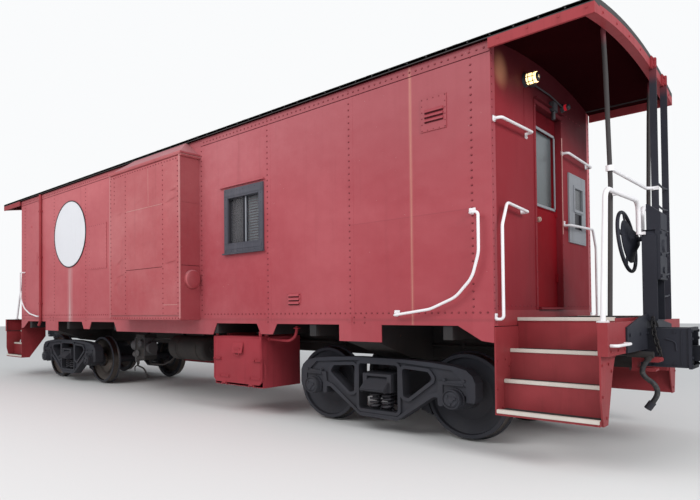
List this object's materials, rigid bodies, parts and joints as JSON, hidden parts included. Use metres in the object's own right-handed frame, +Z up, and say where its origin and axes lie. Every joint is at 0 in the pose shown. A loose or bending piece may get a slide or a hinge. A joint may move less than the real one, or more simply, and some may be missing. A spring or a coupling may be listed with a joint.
{
  "type": "bay window caboose",
  "caption": "Rail caboose with side bays, end platforms with steps and railings, swivelling trucks, turning wheels and opening doors",
  "frame": {"origin": "under the middle of the car, level with the bottoms of the wheel flanges", "axes": "+X along the car to the near end, +Y to its left side, +Z up"},
  "size_m": [12.9, 3.444, 4.1898],
  "materials": {
    "body_red": "weathered matt",
    "roof_black": "matt",
    "truck_grey": "weathered",
    "rail_white": "satin",
    "under_black": "matt",
    "hose_rubber": "matt",
    "window_metal": "satin",
    "pane": "dusty",
    "lamp_glass": "gloss"
  },
  "bodies": {
    "car": {"air_hose": "hose_rubber", "air_reservoir": "under_black", "angle_cocks": "under_black", "bay_left": "body_red", "bay_right": "body_red", "brake_columns": "truck_grey", "brake_valve": "under_black", "coupler_far": "truck_grey", "coupler_near": "truck_grey", "draft_box_far": "truck_grey", "draft_box_near": "truck_grey", "end_grab_irons": "rail_white", "end_sill_far": "body_red", "end_sill_near": "body_red", "end_wall_far": "body_red", "end_wall_near": "body_red", "end_window_plates": "window_metal", "floor": "body_red", "hose_coupling": "under_black", "platform_lamps": "lamp_glass", "platform_posts": "truck_grey", "platform_railings": "rail_white", "roof": "roof_black", "roof_fascias": "body_red", "roof_ladders": "truck_grey", "side_grab_irons": "rail_white", "side_pipe": "body_red", "side_wall_left": "body_red", "side_wall_right": "body_red", "side_window_frames": "window_metal", "side_window_glass": "pane", "smokejack": "roof_black", "steps_far": "body_red", "steps_near": "body_red", "tool_boxes": "body_red", "underframe": "under_black"},
    "truck_near": {"side_frames_near": "truck_grey", "bolster_near": "truck_grey", "springs_near": "truck_grey", "brake_beams_near": "truck_grey"},
    "truck_far": {"side_frames_far": "truck_grey", "bolster_far": "truck_grey", "springs_far": "truck_grey", "brake_beams_far": "truck_grey"},
    "axle_1": {"wheelset_1": "truck_grey"},
    "axle_2": {"wheelset_2": "truck_grey"},
    "axle_3": {"wheelset_3": "truck_grey"},
    "axle_4": {"wheelset_4": "truck_grey"},
    "end_door_near": {"door_near": "body_red", "door_glass_near": "pane"},
    "end_door_far": {"door_far": "body_red", "door_glass_far": "pane"},
    "hand_wheel_near": {"brake_wheel_near": "truck_grey"},
    "hand_wheel_far": {"brake_wheel_far": "truck_grey"},
    "tool_door_right": {"tool_box_door_right": "body_red"},
    "tool_door_left": {"tool_box_door_left": "body_red"},
    "knuckle_near": {"knuckle_near": "truck_grey"},
    "knuckle_far": {"knuckle_far": "truck_grey"}
  },
  "joints": [
    {"name": "truck_near_swivel", "type": "hinge", "parent": "car", "child": "truck_near", "pos_m": [3.536, 0, 0.7], "axis": [0, 0, 1], "range_deg": [-6, 6]},
    {"name": "truck_far_swivel", "type": "hinge", "parent": "car", "child": "truck_far", "pos_m": [-3.536, 0, 0.7], "axis": [0, 0, 1], "range_deg": [-6, 6]},
    {"name": "axle_1_turn", "type": "hinge", "parent": "truck_near", "child": "axle_1", "pos_m": [4.402, 0, 0.444], "axis": [0, 1, 0], "continuous": true},
    {"name": "axle_2_turn", "type": "hinge", "parent": "truck_near", "child": "axle_2", "pos_m": [2.67, 0, 0.444], "axis": [0, 1, 0], "continuous": true},
    {"name": "axle_3_turn", "type": "hinge", "parent": "truck_far", "child": "axle_3", "pos_m": [-4.402, 0, 0.444], "axis": [0, 1, 0], "continuous": true},
    {"name": "axle_4_turn", "type": "hinge", "parent": "truck_far", "child": "axle_4", "pos_m": [-2.67, 0, 0.444], "axis": [0, 1, 0], "continuous": true},
    {"name": "end_door_near_hinge", "type": "hinge", "parent": "car", "child": "end_door_near", "pos_m": [4.816, 0.382, 2.3], "axis": [0, 0, -1], "range_deg": [0, 90]},
    {"name": "hand_wheel_near_turn", "type": "hinge", "parent": "car", "child": "hand_wheel_near", "pos_m": [5.617, 0, 1.927], "axis": [0.993, 0, 0.1184], "continuous": true},
    {"name": "knuckle_near_pivot", "type": "hinge", "parent": "car", "child": "knuckle_near", "pos_m": [6.315, 0.118, 0.901], "axis": [0, 0, 1], "range_deg": [0, 45]},
    {"name": "end_door_far_hinge", "type": "hinge", "parent": "car", "child": "end_door_far", "pos_m": [-4.816, -0.382, 2.3], "axis": [0, 0, -1], "range_deg": [0, 90]},
    {"name": "hand_wheel_far_turn", "type": "hinge", "parent": "car", "child": "hand_wheel_far", "pos_m": [-5.617, 0, 1.927], "axis": [-0.993, 0, 0.1184], "continuous": true},
    {"name": "knuckle_far_pivot", "type": "hinge", "parent": "car", "child": "knuckle_far", "pos_m": [-6.315, -0.118, 0.901], "axis": [0, 0, 1], "range_deg": [0, 45]},
    {"name": "tool_door_right_hinge", "type": "hinge", "parent": "car", "child": "tool_door_right", "pos_m": [1.604, -1.318, 0.385], "axis": [1, 0, 0], "range_deg": [0, 90]},
    {"name": "tool_door_left_hinge", "type": "hinge", "parent": "car", "child": "tool_door_left", "pos_m": [-1.604, 1.318, 0.385], "axis": [-1, 0, 0], "range_deg": [0, 90]}
  ]
}
